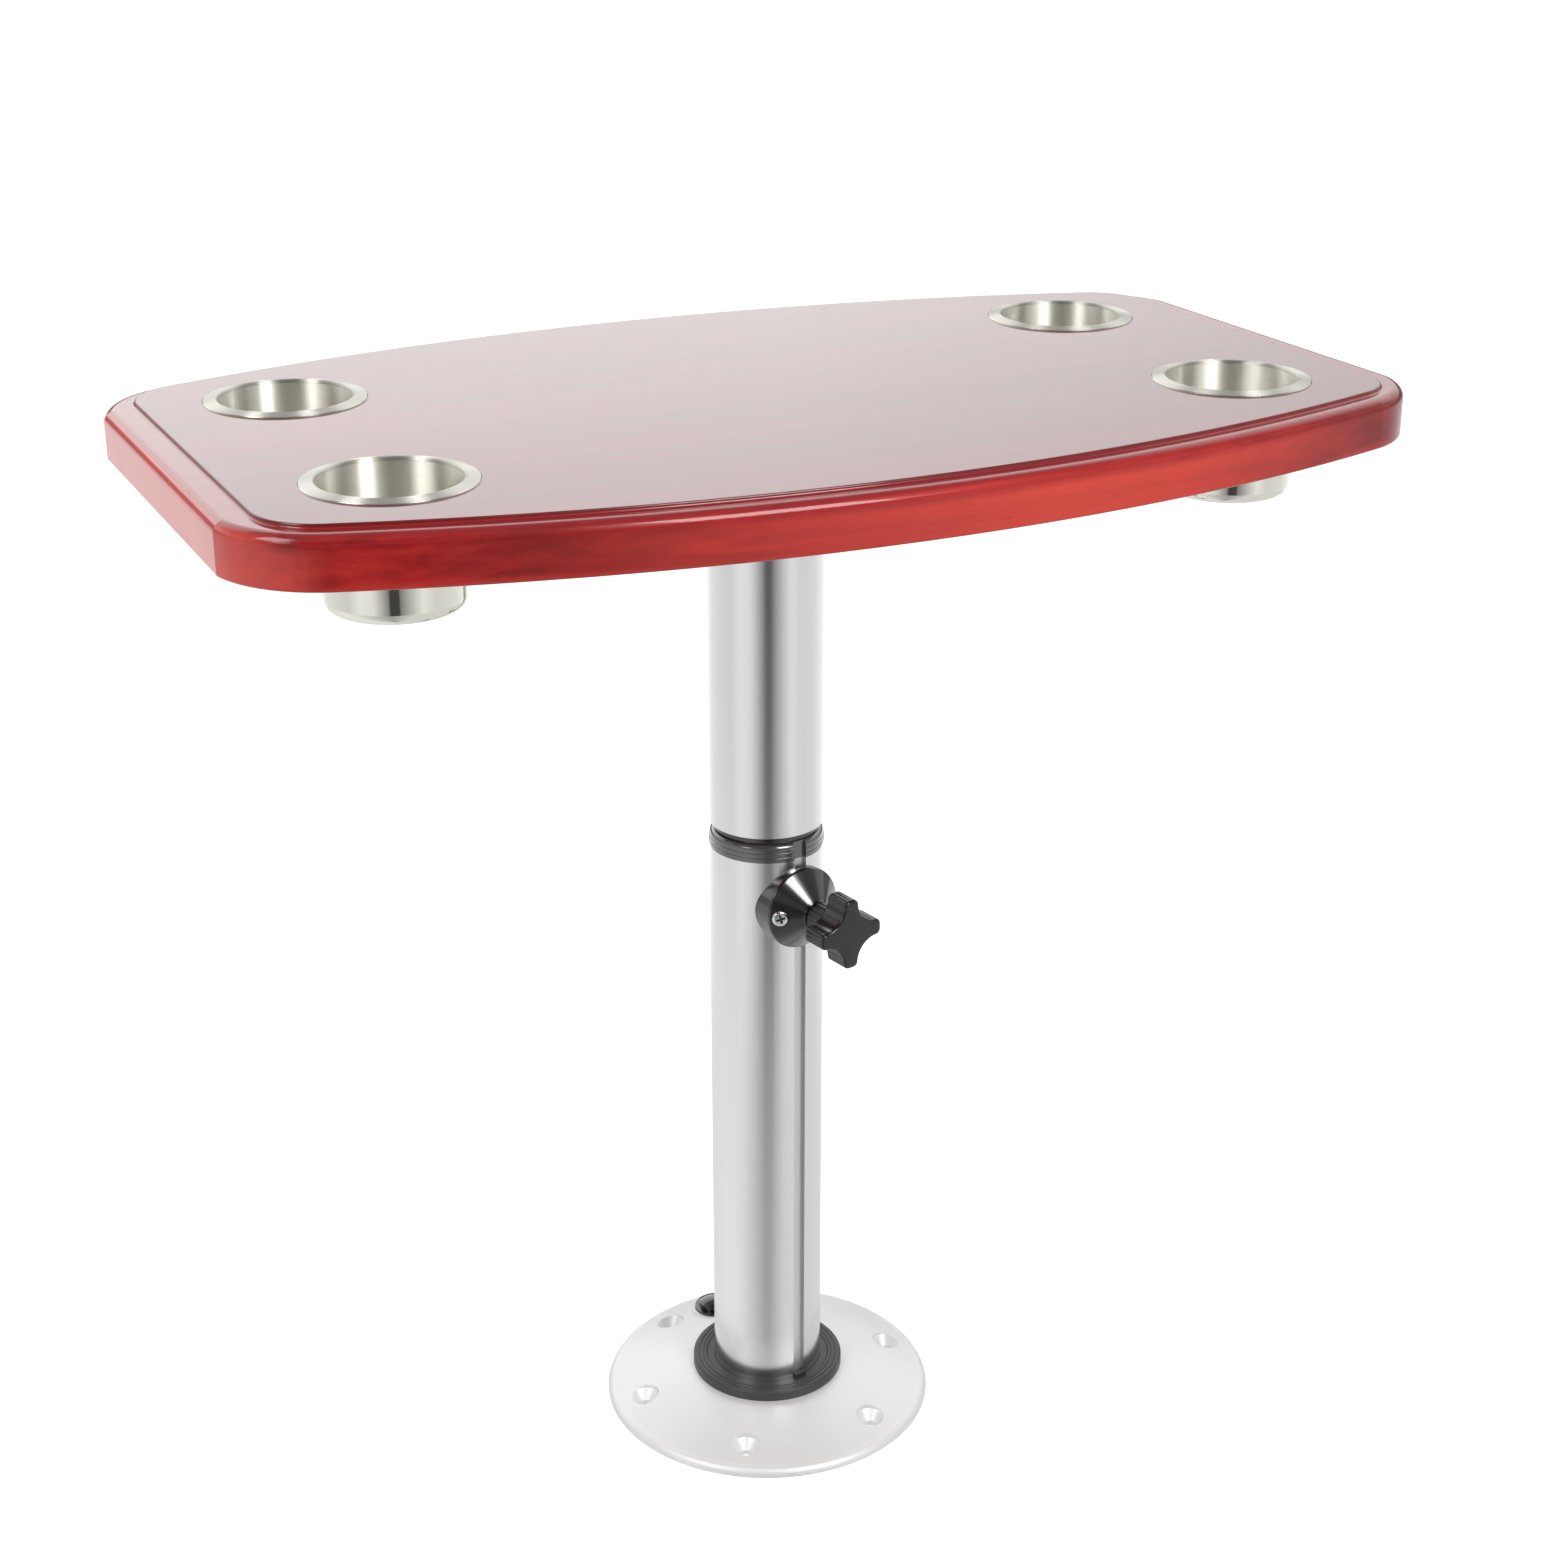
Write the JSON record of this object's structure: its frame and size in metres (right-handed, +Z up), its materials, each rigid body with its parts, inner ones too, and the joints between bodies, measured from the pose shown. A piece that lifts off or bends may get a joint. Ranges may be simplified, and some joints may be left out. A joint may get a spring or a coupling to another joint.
{
  "type": "camper table",
  "caption": "Pedestal camper table: bowed lacquered wood top with recessed cup holders on a clamped telescopic pole that plugs into a round floor base with a release button.",
  "frame": {"origin": "on the floor under the pole's axis, at the centre of the base's underside", "axes": "+Z up along the pole, +X along the table's length, -Y towards the side with the clamp knob"},
  "size_m": [0.64, 0.3948, 0.6159],
  "materials": {
    "wood": "red mahogany stain under high-gloss lacquer",
    "cup_steel": "satin inside, polished outside",
    "tube_aluminium": "bright anodised",
    "cast_aluminium": "satin, finely blasted",
    "gloss_black": "glossy moulding",
    "satin_black": "satin moulding",
    "nylon": "plain moulding",
    "plated_steel": "zinc plated"
  },
  "bodies": {
    "stand": {"base_plate": "cast_aluminium", "base_bush": "satin_black", "button_bezel": "gloss_black", "latch_spring": "plated_steel", "latch_cover": "plated_steel", "latch_cover_screws": "plated_steel", "tube_foot": "satin_black", "king_pin": "plated_steel", "king_pin_nut": "plated_steel", "lower_tube": "tube_aluminium", "collar_bush": "gloss_black", "clamp_housing": "gloss_black", "clamp_housing_screws": "plated_steel"},
    "release_button": {"release_button": "gloss_black"},
    "lock_latch": {"lock_latch": "plated_steel"},
    "pressure_pad": {"pressure_pad": "nylon"},
    "clamp_knob": {"clamp_knob": "satin_black", "clamp_stud": "plated_steel"},
    "lift_guide": {"guide_bush": "nylon"},
    "table": {"inner_tube_plug": "satin_black", "inner_tube": "tube_aluminium", "upper_tube": "tube_aluminium", "upper_tube_ring": "gloss_black", "table_flange": "cast_aluminium", "table_flange_screws": "plated_steel", "flange_set_screws": "plated_steel", "table_top": "wood", "cup_holder_front_left": "cup_steel", "cup_holder_front_right": "cup_steel", "cup_holder_back_left": "cup_steel", "cup_holder_back_right": "cup_steel"}
  },
  "joints": [
    {"name": "height_lift", "type": "slide", "parent": "stand", "child": "lift_guide", "axis": [0, 0, 1], "range_m": [0, 0.15]},
    {"name": "table_swivel", "type": "hinge", "parent": "lift_guide", "child": "table", "pos_m": [0, 0, 0.14], "axis": [0, 0, 1], "continuous": true},
    {"name": "pad_slide", "type": "slide", "parent": "stand", "child": "pressure_pad", "axis": [0.1908, -0.9816, 0], "range_m": [0, 0.0025]},
    {"name": "knob_turn", "type": "hinge", "parent": "pressure_pad", "child": "clamp_knob", "pos_m": [0, 0, 0.329], "axis": [0.1908, -0.9816, 0], "range_deg": [0, 720]},
    {"name": "button_press", "type": "slide", "parent": "stand", "child": "release_button", "axis": [0, 0, -1], "range_m": [0, 0.003], "stiffness_N_per_m": 1200, "springref_m": -0.002},
    {"name": "latch_slide", "type": "slide", "parent": "stand", "child": "lock_latch", "axis": [0.0523, -0.9986, 0], "range_m": [0, 0.003], "deforming": ["latch_spring"]}
  ],
  "couplings": [
    {"joint": "pad_slide", "follows": "knob_turn", "m_per_rad": 0.00019894},
    {"joint": "latch_slide", "follows": "button_press", "ratio": 1}
  ]
}
